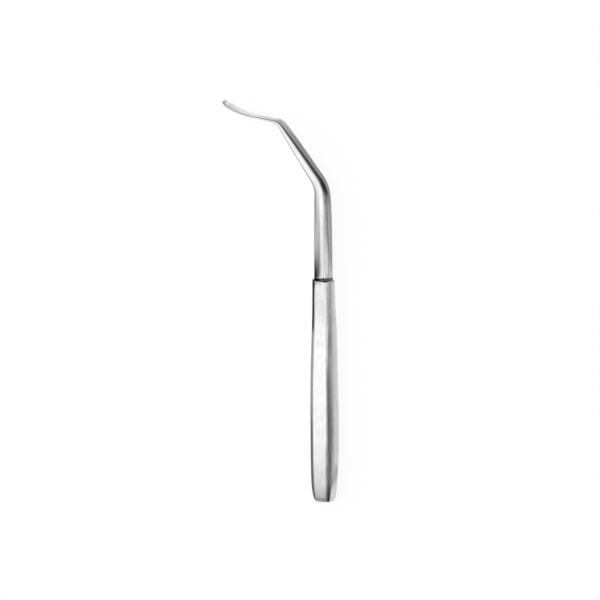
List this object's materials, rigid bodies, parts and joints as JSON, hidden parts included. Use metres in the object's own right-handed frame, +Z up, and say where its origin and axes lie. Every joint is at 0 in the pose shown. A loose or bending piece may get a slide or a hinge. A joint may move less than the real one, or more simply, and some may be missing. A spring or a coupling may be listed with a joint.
{
  "type": "dental elevator",
  "caption": "Straight-handled root elevator with a thin curved spatula blade on a double-bent neck, a round shank and a hollow six-sided barrel handle.",
  "frame": {"origin": "middle of the bounding box in plan, at the height of the handle's lowest flat", "axes": "+Y along the handle's axis towards the blade end, the neck bends towards -X, +Z up from the flat the handle lies on"},
  "size_m": [0.0492, 0.1612, 0.0108],
  "materials": {
    "forged_stainless": "polished stainless steel",
    "braze_alloy": "heat-darkened braze",
    "turned_stainless": "turned stainless steel",
    "handle_stainless": "satin polished stainless steel",
    "weld_stainless": "dressed weld",
    "cap_stainless": "satin polished stainless steel"
  },
  "bodies": {
    "root": {"working_end": "forged_stainless", "braze_ring": "braze_alloy", "front_bush": "turned_stainless", "handle_shell": "handle_stainless", "butt_weld": "weld_stainless", "butt_cap": "cap_stainless"}
  },
  "joints": []
}
